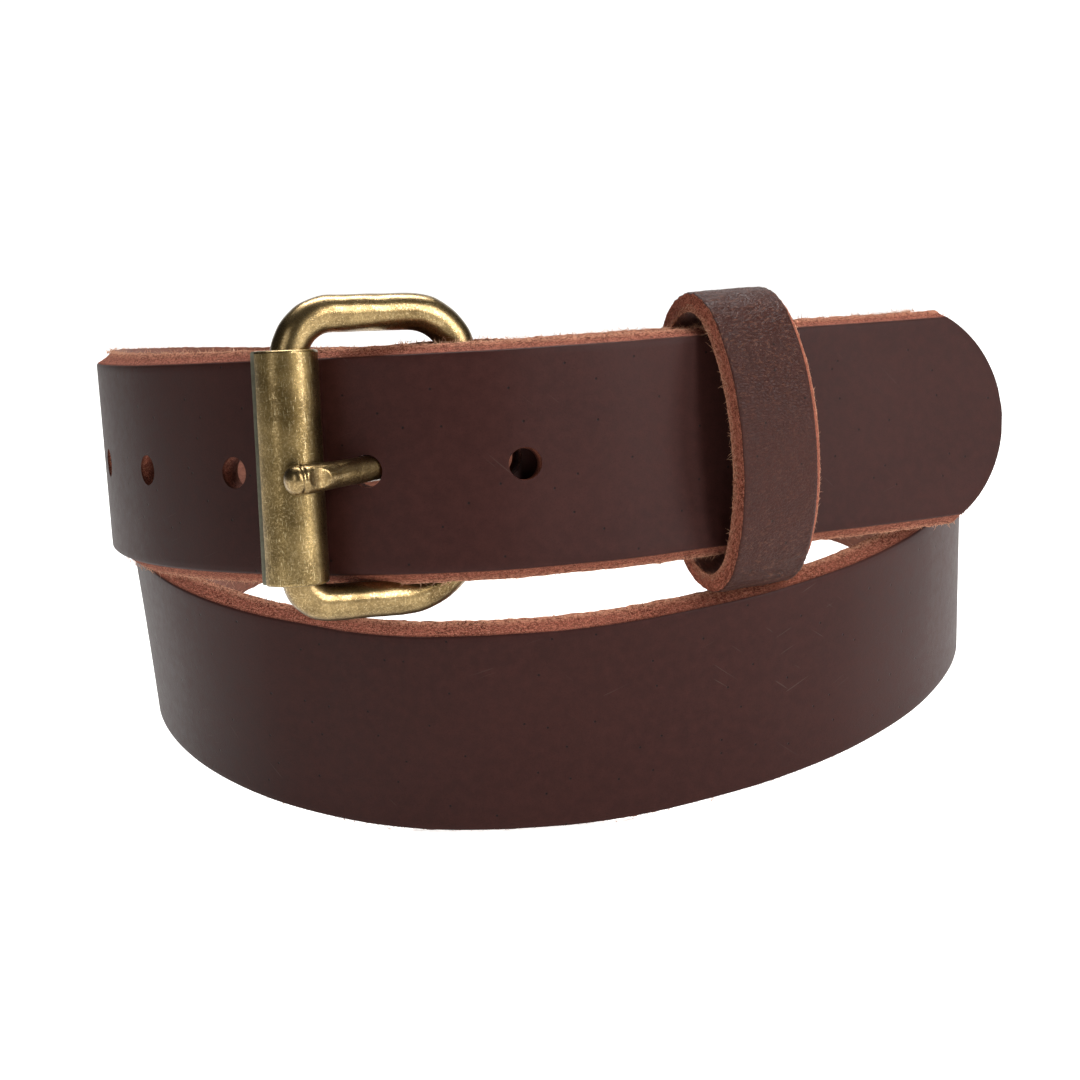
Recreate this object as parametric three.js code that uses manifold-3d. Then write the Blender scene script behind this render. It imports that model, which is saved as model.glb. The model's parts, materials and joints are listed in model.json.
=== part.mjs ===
// Coiled leather belt with a wire roller buckle, a prong and a leather keeper loop.
// Millimetres, +Z up. The buckle faces -Y and the belt's tip points to +X.
// The origin is at the centre of the bounding box's footprint, on the ground.

import * as THREE from "three";
import { mergeVertices } from "three/addons/utils/BufferGeometryUtils.js";
import Module from "manifold-3d";

const wasm = await Module();
wasm.setup();

// ---------- driving dimensions ----------
const GAP = 0.3; // air between neighbouring pieces that touch on the real belt
const STRAP = { width: 35, thickness: 3.4, step: 4.6, foldStep: 1.1, tipStep: 1.2 };
const HOLE = { count: 5, pitch: 25, angle: 717.4, radius: 2.6, depth: 4.8, drop: 0.75 }; // the one nearest the tip
const TIP = { length: 10.5, blunt: 0.08 }; // rounded tip: its length, and the share left flat
const FRONT_LEAN = 4; // degrees that the buckled front leans back at the top
const HEEL = { x: -13.6, y: -79.1, bend: 5.25, nose: 4.5 }; // heel bar, and the bend of the leather round it
const WIRE_RADIUS = 3;
const FRAME = { inside: 40, raise: 0.5, buttGap: 0.5, spacing: 28.2 };
const CORNER = { rollerTop: 7, rollerBottom: 4.6, heelTop: 8.5, heelBottom: 11.5 }; // radii of the wire's bends
const BUCKLE_TURN = 20.05; // degrees that the buckle is turned off the X axis
const BUCKLE_TILT = 1.3; // degrees that its roller end is lifted
const ROLLER = { spacing: 29, forward: 0.35, outer: 5.3, inner: 4.3, length: 37, raise: -0.5, seam: 2.2, seamAngle: -9 };
const PRONG = { radius: 2.1, ringInner: 3.3, ringOuter: 6.4, ringHeight: 3.6, drop: -0.4, droop: 0.055 };
const PRONG_SWEEP = [0, 2, 4, 6]; // degrees of swing that its hole leaves room for
const FRAME_SWEEP = [0, 1.5, 3]; // degrees of swing that the fold leaves room for
const SLOT = { start: -13.5, end: 9, height: 7 }; // in the fold, along X from the heel bar
const KEEPER = { x: 33.8, y: -74.1, z: 64.4, turn: 26.6, width: 14.3, thickness: 3.2, joint: 0.4 };
const STAPLE = { wire: 0.5, crown: 9, spread: 3, bite: 4.2 };
const SCREW = { angles: [2.8, 9.8], headRadius: 4.2, head: 1.2, barrel: 2.5, bore: 1.75, shank: 1.4 };
const SEAM_ANGLE = 45; // coil angle where the folded end and the long run are joined

// The belt's route round the coil, at the middle of the leather: angle in degrees (0 is the
// front, 90 the right side), radius, height of the lower edge, outward lean of the top edge.
const ROUTE = [
  [-9.2, 85.4, 47.9, -4], [0.9, 80.6, 47.7, -4], [15.1, 75.8, 47.4, -4], [24.1, 74.8, 47.1, -4],
  [33.9, 74.6, 46.7, -3], [60, 75, 45, 0], [90, 76, 42.5, 0], [122, 78.2, 38, 0],
  [150, 78.5, 34.5, 0], [180, 78.5, 31, 0], [210, 81, 27.5, 0], [238, 83.9, 22.8, 0],
  [254, 82.1, 17.5, 1], [270, 80.7, 12, 2], [281, 80.0, 8.5, 3], [303.5, 79.3, 6.2, 5],
  [319, 78.9, 3.6, 5], [330, 76.7, 1.3, 5], [340, 75.4, 0.2, 5], [350, 74.4, 0, 5],
  [360, 73.3, 0, 5], [369, 72.8, 0.5, 5], [379, 72.7, 1.6, 6], [390, 73.5, 3, 7],
  [404, 75.2, 5.3, 7], [422, 77.2, 8.2, 5], [444, 80.4, 12, 2], [465, 81.8, 18.5, 0],
  [482, 82, 24.5, 0], [510, 82.3, 29.5, 0], [540, 82.3, 33.3, 0], [570, 85.2, 36.8, 0],
  [598, 88.6, 40.3, 0], [622, 86.8, 43.2, 1], [647.6, 86.3, 45.2, -0.9], [666.2, 88.7, 46.4, -2.7],
  [679.2, 90, 47.2, -3.7], [688.9, 90.6, 47.7, -4], [696.6, 90.7, 47.9, -4], [703, 90.3, 48, -4],
  [709.2, 89.4, 48, -4], [715.5, 88.1, 47.9, -4], [722, 85.9, 47.8, -4], [728.7, 83.8, 47.6, -4],
  [736.1, 81.1, 47.4, -4], [744.5, 80.2, 47.2, -4], [753.3, 80.3, 47, -4],
  [761.4, 83, 46.7, -4], [769.8, 87.4, 46.4, -4], [779, 95.3, 46.2, -4],
];
// The folded end, from where it stops to where it starts to bend: X, Y, height.
const TAIL = [[18.7, -69.7, 47.4], [12, -72.6, 47.5], [1.2, -76.8, 47.7], [-3.2, -77.9, 47.7], [-8.4, -75.4, 47.8]];

// The prong's shank from its ring outward: along the buckle, and out from its plane.
const SHANK = [[4.6, -1], [8.5, -1.1], [12.5, 0], [17.7, 2.7], [23.5, 6.3], [28.5, 8.4], [31.9, 9.05]];

// Half of the keeper's loop, middle of the leather: out from the belt's face, and height.
const KEEPER_HALF = [
  [7.1, 0], [6.4, 8], [4.3, 15], [0.8, 21], [-3.6, 23.4], [-8.2, 22.5], [-11.8, 19.4],
  [-13.2, 14], [-13.5, 7],
];

const COLOURS = { grain: 0x33211f, keeper: 0x3a2622, brass: 0x7d6a3a, steel: 0x8f8f8a };

// ---------- solids ----------
function solidOf(geometry) {
  const bare = geometry.clone();
  bare.deleteAttribute("normal");
  bare.deleteAttribute("uv");
  const merged = mergeVertices(bare, 1e-5);
  const source = {
    numProp: 3,
    vertProperties: new Float32Array(merged.attributes.position.array),
    triVerts: new Uint32Array(merged.index.array),
  };
  return new wasm.Manifold(new wasm.Mesh(source));
}

function geometryOf(solid) {
  const { vertProperties, triVerts } = solid.getMesh();
  const geometry = new THREE.BufferGeometry();
  geometry.setAttribute("position", new THREE.BufferAttribute(vertProperties, 3));
  geometry.setIndex(new THREE.BufferAttribute(triVerts, 1));
  geometry.computeVertexNormals();
  return geometry;
}

function piece(name, geometry, color, roughness, metalness) {
  const material = new THREE.MeshStandardMaterial({ color, roughness, metalness });
  const mesh = new THREE.Mesh(geometry, material);
  mesh.name = name;
  return mesh;
}

const leather = (name, geometry, color) => piece(name, geometry, color, 0.55, 0);
const metal = (name, geometry, color) => piece(name, geometry, color, 0.4, 1);

// ---------- the belt's route ----------
const radians = THREE.MathUtils.degToRad;
const outward = (angle) => new THREE.Vector3(Math.sin(radians(angle)), -Math.cos(radians(angle)), 0);
const frontLean = new THREE.Vector3(0, Math.tan(radians(FRONT_LEAN)), 0);

// A station holds a place on the lower edge, and how far the belt leans per unit of height.
function coilStation([angle, radius, lowerEdge, lean]) {
  const point = outward(angle).multiplyScalar(radius).setZ(lowerEdge);
  return { point, lean: outward(angle).multiplyScalar(Math.tan(radians(lean))) };
}

function tailStation([x, y, lowerEdge]) {
  return { point: new THREE.Vector3(x, y, lowerEdge), lean: frontLean };
}

// Half a turn beyond the heel bar, stopping short of the first coil station.
function foldStation(turn) {
  const x = HEEL.x - HEEL.nose - HEEL.bend * Math.sin(radians(turn));
  const y = HEEL.y + HEEL.bend * Math.cos(radians(turn));
  return { point: new THREE.Vector3(x, y, ROUTE[0][2]), lean: frontLean };
}

const foldTurns = [0, 36, 72, 108, 144];
const firstCoilStation = TAIL.length + foldTurns.length;
const stations = [
  ...TAIL.map(tailStation), ...foldTurns.map(foldStation), ...ROUTE.map(coilStation),
];
const plan = new THREE.CatmullRomCurve3(stations.map((s) => s.point), false, "centripetal");
const leans = new THREE.CatmullRomCurve3(stations.map((s) => s.lean));

// Lower edge, outward face and direction across the belt, at a share of the route.
function sectionAt(share) {
  const point = plan.getPoint(share);
  point.z = Math.max(point.z, 0);
  const forward = plan.getTangent(share);
  const face = new THREE.Vector3(forward.y, -forward.x, 0).normalize();
  const across = new THREE.Vector3(0, 0, 1).addScaledVector(forward, -forward.z);
  across.normalize().add(leans.getPoint(share)).normalize();
  return { point, face, across };
}

const shareOfStation = (index) => index / (stations.length - 1);
function shareOfAngle(angle) {
  const next = ROUTE.findIndex((row) => row[0] > angle);
  const within = (angle - ROUTE[next - 1][0]) / (ROUTE[next][0] - ROUTE[next - 1][0]);
  return shareOfStation(firstCoilStation + next - 1 + within);
}

// The route as many small steps, each with the length travelled so far.
const TRACE_STEPS = 12000;
const trace = [{ share: 0, length: 0 }];
for (let i = 1; i <= TRACE_STEPS; i += 1) {
  const share = i / TRACE_STEPS;
  const stride = plan.getPoint(share).distanceTo(plan.getPoint((i - 1) / TRACE_STEPS));
  trace.push({ share, length: trace[i - 1].length + stride });
}
const totalLength = trace[TRACE_STEPS].length;
const shareAtLength = (length) => trace.find((mark) => mark.length >= length).share;
const lengthAtShare = (share) => trace.find((mark) => mark.share >= share).length;

// Cross-sections are closer together round the fold and at the tip.
function stepAt(length) {
  if (length < lengthAtShare(shareOfStation(firstCoilStation + 1))) return STRAP.foldStep;
  return length > totalLength - TIP.length - STRAP.step ? STRAP.tipStep : STRAP.step;
}

const cuts = [0];
while (cuts[cuts.length - 1] < totalLength - STRAP.tipStep) {
  const last = cuts[cuts.length - 1];
  cuts.push(last + stepAt(last));
}
cuts[cuts.length - 1] = totalLength;

// A strap is a flat box, bent by carrying each of its cross-sections to the route.
function bendStrap(lengths) {
  const count = lengths.length - 1;
  const geometry = new THREE.BoxGeometry(count, 1, 1, count, 1, 1);
  const position = geometry.attributes.position;
  const sections = lengths.map((length) => sectionAt(shareAtLength(length)));
  for (let i = 0; i < position.count; i += 1) {
    const index = Math.round(position.getX(i) + count / 2);
    const { point, face, across } = sections[index];
    const rise = STRAP.width / 2 + Math.sign(position.getZ(i)) * halfWidthAt(lengths[index]);
    const vertex = point.clone().addScaledVector(across, rise);
    vertex.addScaledVector(face, -position.getY(i) * STRAP.thickness);
    position.setXYZ(i, vertex.x, vertex.y, vertex.z);
  }
  return solidOf(geometry);
}

// The rounded tip is one arc from corner to corner.
function halfWidthAt(length) {
  const half = STRAP.width / 2;
  const left = totalLength - length;
  if (left >= TIP.length) return half;
  const arc = (half ** 2 + TIP.length ** 2) / (2 * TIP.length);
  return Math.max(Math.sqrt(arc ** 2 - (arc - left) ** 2), half * TIP.blunt);
}

// ---------- cutters ----------
function holeThrough({ point, face, across }, radius, depth, shift, drop = 0) {
  const cylinder = new THREE.CylinderGeometry(radius, radius, depth, 20);
  const turn = new THREE.Quaternion().setFromUnitVectors(new THREE.Vector3(0, 1, 0), face);
  const middle = point.clone().addScaledVector(across, STRAP.width / 2 - drop);
  middle.addScaledVector(face, shift);
  cylinder.applyQuaternion(turn).translate(middle.x, middle.y, middle.z);
  return solidOf(cylinder);
}

// ---------- buckle space: x to the roller bar, y outward, z up the bars ----------
const strapMiddle = ROUTE[0][2] + STRAP.width / 2;
const buckleSpace = new THREE.Matrix4();
{
  const up = new THREE.Vector3(0, 0, 1).add(frontLean).normalize();
  const turn = radians(BUCKLE_TURN);
  const toRoller = new THREE.Vector3(-Math.cos(turn), -Math.sin(turn), 0);
  toRoller.addScaledVector(up, -toRoller.dot(up)).normalize();
  const axes = new THREE.Matrix4().makeBasis(toRoller, up.clone().cross(toRoller), up);
  const drift = frontLean.y * (STRAP.width / 2);
  const tilt = new THREE.Matrix4().makeRotationY(-radians(BUCKLE_TILT));
  buckleSpace.makeTranslation(HEEL.x, HEEL.y + drift, strapMiddle).multiply(axes).multiply(tilt);
}

function circle(radius, sides) {
  const shape = new THREE.Shape();
  for (let i = 0; i < sides; i += 1) {
    const turn = (2 * Math.PI * i) / sides;
    const corner = [radius * Math.cos(turn), radius * Math.sin(turn)];
    if (i === 0) shape.moveTo(...corner);
    else shape.lineTo(...corner);
  }
  return shape;
}

// Carries a drawn 2-D path into space, as a curve that a section can follow.
class PlanarCurve extends THREE.Curve {
  constructor(path, place) {
    super();
    this.path = path;
    this.place = place;
  }
  getPoint(t, target = new THREE.Vector3()) {
    const flat = this.path.getPointAt(t);
    return target.copy(this.place(flat.x, flat.y));
  }
}

function tubeAlong(path, place, radius, sides, steps) {
  const extrudePath = new PlanarCurve(path, place);
  return new THREE.ExtrudeGeometry(circle(radius, sides), { steps, extrudePath, curveSegments: 1 });
}

// ---------- buckle pieces ----------
function buckleFrame(radius) {
  const high = FRAME.inside / 2 + WIRE_RADIUS;
  const far = FRAME.spacing;
  const { rollerTop, rollerBottom, heelTop, heelBottom } = CORNER;
  const path = new THREE.Path();
  path.moveTo(far, FRAME.buttGap / 2);
  path.lineTo(far, high - rollerTop);
  path.absarc(far - rollerTop, high - rollerTop, rollerTop, 0, Math.PI / 2, false);
  path.lineTo(heelTop, high);
  path.absarc(heelTop, high - heelTop, heelTop, Math.PI / 2, Math.PI, false);
  path.lineTo(0, heelBottom - high);
  path.absarc(heelBottom, heelBottom - high, heelBottom, Math.PI, Math.PI * 1.5, false);
  path.lineTo(far - rollerBottom, -high);
  path.absarc(far - rollerBottom, rollerBottom - high, rollerBottom, Math.PI * 1.5, Math.PI * 2, false);
  path.lineTo(far, -FRAME.buttGap / 2);
  const place = (x, z) => new THREE.Vector3(x, 0, z + FRAME.raise);
  return tubeAlong(path, place, radius, 14, 76);
}

function roller() {
  const start = radians(ROLLER.seamAngle);
  const seam = ROLLER.seam / ROLLER.outer;
  const shape = new THREE.Shape();
  shape.absarc(0, 0, ROLLER.outer, start + seam, start + 2 * Math.PI, false);
  shape.absarc(0, 0, ROLLER.inner, start + 2 * Math.PI, start + seam, true);
  shape.closePath();
  const options = { depth: ROLLER.length, bevelEnabled: false, curveSegments: 32 };
  const geometry = new THREE.ExtrudeGeometry(shape, options);
  return geometry.translate(ROLLER.spacing, ROLLER.forward, ROLLER.raise - ROLLER.length / 2);
}

function prongShank(radius) {
  const spline = new THREE.SplineCurve(SHANK.map(([x, y]) => new THREE.Vector2(x, y)));
  const place = (x, y) => new THREE.Vector3(x, y, PRONG.drop - PRONG.droop * x);
  return tubeAlong(spline, place, radius, 12, 20);
}

function prong() {
  const ring = new THREE.Shape();
  ring.absarc(0, 0, PRONG.ringOuter, 0, 2 * Math.PI, false);
  const bore = new THREE.Path();
  bore.absarc(0, 0, PRONG.ringInner, 0, 2 * Math.PI, true);
  ring.holes.push(bore);
  const height = PRONG.ringHeight;
  const options = { depth: height, bevelEnabled: false, curveSegments: 14 };
  const loop = new THREE.ExtrudeGeometry(ring, options).translate(0, 0, PRONG.drop - height / 2);
  const barRoom = new THREE.CylinderGeometry(PRONG.ringInner, PRONG.ringInner, 12, 28);
  barRoom.rotateX(Math.PI / 2);
  const joined = solidOf(loop).add(solidOf(prongShank(PRONG.radius)));
  return geometryOf(joined.subtract(solidOf(barRoom)));
}

// Room that the frame presses into the folded leather, over its small swing.
function frameRoom() {
  const wire = buckleFrame(WIRE_RADIUS + GAP / 2);
  return FRAME_SWEEP.map((degrees) => {
    const turn = new THREE.Matrix4().makeRotationZ(radians(degrees));
    return solidOf(wire.clone().applyMatrix4(turn).applyMatrix4(buckleSpace));
  }).reduce((room, next) => room.add(next));
}

// Room for the prong where it passes through the belt, over its small swing.
function prongRoom() {
  const shank = prongShank(PRONG.radius + GAP);
  return PRONG_SWEEP.map((degrees) => {
    const turn = new THREE.Matrix4().makeRotationZ(radians(degrees));
    return solidOf(shank.clone().applyMatrix4(turn).applyMatrix4(buckleSpace));
  }).reduce((room, next) => room.add(next));
}

// Slot in the fold that lets the prong's ring sit round the heel bar.
function prongSlot() {
  const slot = new THREE.BoxGeometry(SLOT.end - SLOT.start, 6 * HEEL.bend, SLOT.height);
  const drift = frontLean.y * (STRAP.width / 2);
  slot.translate(HEEL.x + (SLOT.start + SLOT.end) / 2, HEEL.y + drift, strapMiddle + PRONG.drop);
  return solidOf(slot);
}

// ---------- strap ----------
function strap() {
  const seam = cuts.findIndex((length) => length > lengthAtShare(shareOfAngle(SEAM_ANGLE)));
  let folded = bendStrap(cuts.slice(0, seam + 2)).subtract(prongSlot()).subtract(frameRoom());
  for (const angle of SCREW.angles) {
    const section = sectionAt(shareOfAngle(angle));
    folded = folded.subtract(holeThrough(section, SCREW.barrel + GAP, 14, -2));
  }
  let run = bendStrap(cuts.slice(seam)).subtract(prongRoom());
  const firstHole = lengthAtShare(shareOfAngle(HOLE.angle));
  for (let i = 0; i < HOLE.count; i += 1) {
    const share = shareAtLength(firstHole - i * HOLE.pitch);
    run = run.subtract(holeThrough(sectionAt(share), HOLE.radius, HOLE.depth, 0, HOLE.drop));
  }
  return geometryOf(folded.add(run));
}

// ---------- screw posts through the fold ----------
const foldStack = 2 * STRAP.thickness + 2 * GAP;

// A turned piece, drawn from its outer face inward, standing on the strap's outward face.
function turned(profile, angle, flip) {
  const geometry = new THREE.LatheGeometry(profile.map(([r, y]) => new THREE.Vector2(r, y)), 24);
  const { point, face, across } = sectionAt(shareOfAngle(angle));
  const axis = face.clone().multiplyScalar(flip);
  const turn = new THREE.Quaternion().setFromUnitVectors(new THREE.Vector3(0, 1, 0), axis);
  const seat = flip > 0 ? STRAP.thickness / 2 + GAP : STRAP.thickness / 2 - foldStack - GAP;
  const place = point.clone().addScaledVector(across, STRAP.width / 2);
  place.addScaledVector(face, seat);
  return geometry.applyQuaternion(turn).translate(place.x, place.y, place.z);
}

function screwPost(angle) {
  const { headRadius, head, barrel, bore } = SCREW;
  const end = -(foldStack + GAP);
  const profile = [[0, head], [headRadius, head], [headRadius, 0], [barrel, 0], [barrel, end],
    [bore, end], [bore, -1.2], [0, -1.2]];
  return turned(profile.reverse(), angle, 1);
}

function postScrew(angle) {
  const { headRadius, head, shank } = SCREW;
  const profile = [[0, head], [headRadius, head], [headRadius, 0], [shank, 0], [shank, -5], [0, -5]];
  return turned(profile.reverse(), angle, -1);
}

// ---------- keeper loop ----------
function keeperCurve() {
  const upper = KEEPER_HALF.map(([depth, height]) => new THREE.Vector3(depth, height, 0));
  const back = KEEPER_HALF[KEEPER_HALF.length - 1][0];
  const lower = upper.slice(1).reverse().map((p) => new THREE.Vector3(p.x, -p.y, 0));
  return new THREE.CatmullRomCurve3([...upper, new THREE.Vector3(back, 0, 0), ...lower], true);
}

function keeperShape() {
  const curve = keeperCurve();
  const count = 80;
  const rim = (offset) => Array.from({ length: count }, (_, i) => {
    const point = curve.getPointAt(i / count);
    const tangent = curve.getTangentAt(i / count);
    return new THREE.Vector2(point.x + tangent.y * offset, point.y - tangent.x * offset);
  });
  const shape = new THREE.Shape(rim(KEEPER.thickness / 2));
  shape.holes.push(new THREE.Path(rim(-KEEPER.thickness / 2)));
  return shape;
}

// Keeper space: x outward, y up across the belt, z back along the belt.
const keeperSpace = new THREE.Matrix4();
{
  const turn = radians(KEEPER.turn);
  const front = new THREE.Vector3(Math.sin(turn), -Math.cos(turn), 0);
  const up = new THREE.Vector3(0, 0, 1).addScaledVector(front, -Math.tan(radians(FRONT_LEAN)));
  up.normalize();
  front.addScaledVector(up, -front.dot(up)).normalize();
  const axes = new THREE.Matrix4().makeBasis(front, up, front.clone().cross(up));
  keeperSpace.makeTranslation(KEEPER.x, KEEPER.y, KEEPER.z).multiply(axes);
}

function staplePath(shift, wire) {
  const back = KEEPER_HALF[KEEPER_HALF.length - 1][0] - KEEPER.thickness / 2 - STAPLE.wire - GAP;
  const path = new THREE.Path();
  path.moveTo(back + STAPLE.bite, STAPLE.crown / 2);
  path.lineTo(back, STAPLE.crown / 2);
  path.lineTo(back, -STAPLE.crown / 2);
  path.lineTo(back + STAPLE.bite, -STAPLE.crown / 2);
  const place = (x, y) => new THREE.Vector3(x, y, shift);
  return tubeAlong(path, place, wire, 6, 34);
}

const stapleShifts = [-STAPLE.spread, STAPLE.spread];

function keeperLoop() {
  const options = { depth: KEEPER.width, bevelEnabled: false };
  const loop = new THREE.ExtrudeGeometry(keeperShape(), options).translate(0, 0, -KEEPER.width / 2);
  const back = KEEPER_HALF[KEEPER_HALF.length - 1][0];
  const joint = new THREE.BoxGeometry(KEEPER.thickness + 2, KEEPER.joint, KEEPER.width + 2);
  joint.translate(back, 0, 0);
  let solid = solidOf(loop).subtract(solidOf(joint));
  for (const shift of stapleShifts) {
    solid = solid.subtract(solidOf(staplePath(shift, STAPLE.wire + GAP)));
  }
  return geometryOf(solid);
}

// ---------- assembly ----------
const belt = new THREE.Group();
belt.add(leather("strap", strap(), COLOURS.grain));

const buckle = new THREE.Group();
buckle.applyMatrix4(buckleSpace);
buckle.add(metal("buckle_frame", buckleFrame(WIRE_RADIUS), COLOURS.brass));
buckle.add(metal("roller", roller(), COLOURS.brass));
buckle.add(metal("prong", prong(), COLOURS.brass));
belt.add(buckle);

const keeper = new THREE.Group();
keeper.applyMatrix4(keeperSpace);
keeper.add(leather("keeper_loop", keeperLoop(), COLOURS.keeper));
stapleShifts.forEach((shift, i) => {
  keeper.add(metal(`keeper_staple_${i + 1}`, staplePath(shift, STAPLE.wire), COLOURS.steel));
});
belt.add(keeper);

SCREW.angles.forEach((angle, i) => {
  belt.add(metal(`screw_post_${i + 1}`, screwPost(angle), COLOURS.brass));
  belt.add(metal(`post_screw_${i + 1}`, postScrew(angle), COLOURS.brass));
});

const box = new THREE.Box3().setFromObject(belt, true);
const middle = box.getCenter(new THREE.Vector3());
belt.position.set(-middle.x, -middle.y, -box.min.z);

const object = new THREE.Group();
object.add(belt);
export default object;
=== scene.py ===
"""A coiled leather belt with an antiqued roller buckle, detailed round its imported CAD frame.

Lengths in the tables are in millimetres, measured from the coil's centre, as in the part's source.
Flat pieces of leather are drawn laid out straight, as (along, across, thickness), and then bent.
"""
import json
import math
import bmesh
import bpy
import numpy as np
from mathutils import Matrix, Vector, noise


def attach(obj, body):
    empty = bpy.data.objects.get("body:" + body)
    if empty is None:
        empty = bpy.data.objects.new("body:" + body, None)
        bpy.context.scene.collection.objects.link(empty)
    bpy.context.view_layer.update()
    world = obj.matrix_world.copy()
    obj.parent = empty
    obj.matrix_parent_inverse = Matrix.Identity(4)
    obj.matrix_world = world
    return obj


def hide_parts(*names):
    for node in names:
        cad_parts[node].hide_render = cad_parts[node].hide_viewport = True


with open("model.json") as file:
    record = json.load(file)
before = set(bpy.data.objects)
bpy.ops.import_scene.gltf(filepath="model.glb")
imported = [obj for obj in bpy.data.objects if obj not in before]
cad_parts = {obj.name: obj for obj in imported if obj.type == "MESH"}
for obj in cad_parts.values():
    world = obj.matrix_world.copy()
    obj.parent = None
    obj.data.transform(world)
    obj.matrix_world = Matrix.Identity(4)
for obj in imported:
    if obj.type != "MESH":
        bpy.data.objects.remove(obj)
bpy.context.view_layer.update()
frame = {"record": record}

MM = 0.001
coil_box = frame["record"]["physics"]["openings"][0]["box_m"]
COIL = (Vector(coil_box[0]) + Vector(coil_box[1])) / 2 / MM
COIL.z = 0  # heights are already measured from the base

# ---------- sizes ----------
STRAP = {"width": 35, "thickness": 3.4, "flare": 1.5, "grain_roll": 0.42, "face_step": 1.0,
         "step": 1.15, "fold_step": 0.5, "tip_step": 0.15, "ragged": 0.45}
HOLE = {"count": 5, "pitch": 25, "angle": 717.4, "radius": 2.6, "drop": 0.75}
TIP = {"length": 10.5, "blunt": 0.04}
FRONT_LEAN = 4
HEEL = {"x": -13.6, "y": -79.1, "bend": 5.25, "nose": 4.5}
WIRE_RADIUS = 3.0
FRAME = {"inside": 40, "raise": 0.5, "spacing": 28.2}
CORNER = {"roller_top": 7, "heel_top": 8.5, "heel_bottom": 11.5, "roller_bottom": 4.6}
BUCKLE_TURN = 20.05
BUCKLE_TILT = 1.3
ROLLER = {"spacing": 29, "forward": 0.35, "outer": 5.3, "inner": 4.3, "length": 37, "raise": -0.5,
          "seam": 2.2, "seam_angle": -9}
PRONG = {"radius": 2.1, "drop": -0.4, "droop": 0.055}
PRONG_RING = {"radius": 4.9, "wire": 1.55, "start": 110, "end": 385}
PRONG_TIP = {"nose": 2.2, "neck": 2.4, "neck_width": 0.35, "neck_depth": 0.08, "flat_middle": 4.7,
             "flat_half": 1.9, "flat_depth": 0.26, "swell": 0.17}
SLOT = {"reach": 9, "height": 7}
KEEPER = {"x": 33.8, "y": -74.1, "z": 64.4, "turn": 26.6, "width": 14.3, "thickness": 3.2, "joint": 0.4,
          "flare": 0.5, "grain_roll": 0.4, "face_step": 0.4, "stations": 300, "ragged": 0.3}
# How far the keeper's flesh side is moved across, at its far edge and at its near edge.
KEEPER_SHIFT = (-1.6, -0.35)
KEEPER_THINNING = 0.9
STAPLE = {"wire": 0.5, "crown": 9, "spread": 3, "bite": 4.2}
SCREW = {"angles": (2.8, 9.8), "head_radius": 4.2, "head": 1.2, "barrel": 2.5, "shank": 1.4,
         "play": 0.1, "depth": 5, "slot_width": 0.9, "slot_depth": 0.4}
STRAP_FIBRES = {"count": 11000, "longest": 1.35, "seed": 3}
KEEPER_FIBRES = {"count": 2600, "longest": 1.0, "seed": 8, "overhang": 0.3}
GAP = 0.3
# How far the flared lower edge may hang below the CAD's base.
FLOOR_DROP = 0.8
# Along the belt, by the angle round the coil: how far the knife's slant moves the flesh side
# across, and how much wider the flesh side bulges where the belt bends sharply.
SLANT = [(0, -0.5, 0), (200, 0, 0), (280, 0.5, 0), (450, 0.5, 0), (560, 0, 0), (600, 0, 0.6),
         (650, 0, 0.6), (700, -0.4, 0.2), (722, -0.5, 0)]

# The belt's route round the coil, at the middle of the leather: angle in degrees (0 is the
# front, 90 the right side), radius, height of the lower edge, outward lean of the top edge.
ROUTE = [
    (-9.2, 85.4, 47.9, -4), (0.9, 80.6, 47.7, -4), (15.1, 75.8, 47.4, -4), (24.1, 74.8, 47.1, -4),
    (33.9, 74.6, 46.7, -3), (60, 75, 45, 0), (90, 76, 42.5, 0), (122, 78.2, 38, 0),
    (150, 78.5, 34.5, 0), (180, 78.5, 31, 0), (210, 81, 27.5, 0), (238, 83.9, 22.8, 0),
    (254, 82.1, 17.5, 1), (270, 80.7, 12, 2), (281, 80.0, 8.5, 3), (303.5, 79.3, 6.2, 5),
    (319, 78.9, 3.6, 5), (330, 76.7, 1.3, 5), (340, 75.4, 0.2, 5), (350, 74.4, 0, 5),
    (360, 73.3, 0, 5), (369, 72.8, 0.5, 5), (379, 72.7, 1.6, 6), (390, 73.5, 3, 7),
    (404, 75.2, 5.3, 7), (422, 77.2, 8.2, 5), (444, 80.4, 12, 2), (465, 81.8, 18.5, 0),
    (482, 82, 24.5, 0), (510, 82.3, 29.5, 0), (540, 82.3, 33.3, 0), (570, 85.2, 36.8, 0),
    (598, 88.6, 40.3, 0), (622, 86.8, 43.2, 1), (647.6, 86.3, 45.2, -0.9), (666.2, 88.7, 46.4, -2.7),
    (679.2, 90, 47.2, -3.7), (688.9, 90.6, 47.7, -4), (696.6, 90.7, 47.9, -4), (703, 90.3, 48, -4),
    (709.2, 89.4, 48, -4), (715.5, 88.1, 47.9, -4), (722, 85.9, 47.8, -4), (728.7, 83.8, 47.6, -4),
    (736.1, 81.1, 47.4, -4), (744.5, 80.2, 47.2, -4), (753.3, 80.3, 47, -4),
    (761.4, 83, 46.7, -4), (769.8, 87.4, 46.4, -4), (779, 95.3, 46.2, -4),
]
TAIL = [(18.7, -69.7, 47.4), (12, -72.6, 47.5), (1.2, -76.8, 47.7), (-3.2, -77.9, 47.7),
        (-8.4, -75.4, 47.8)]
SHANK = [(4.6, -1), (8.5, -1.1), (12.5, 0), (17.7, 2.7), (23.5, 6.3), (28.5, 8.4), (31.9, 9.05)]
KEEPER_HALF = [(7.1, 0), (6.4, 8), (4.3, 15), (0.8, 21), (-3.6, 23.4), (-8.2, 22.5), (-11.8, 19.4),
               (-13.2, 14), (-13.5, 7)]
FOLD_END = ROUTE[0][0]
PUNCH_DEPTH = 2.2


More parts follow.
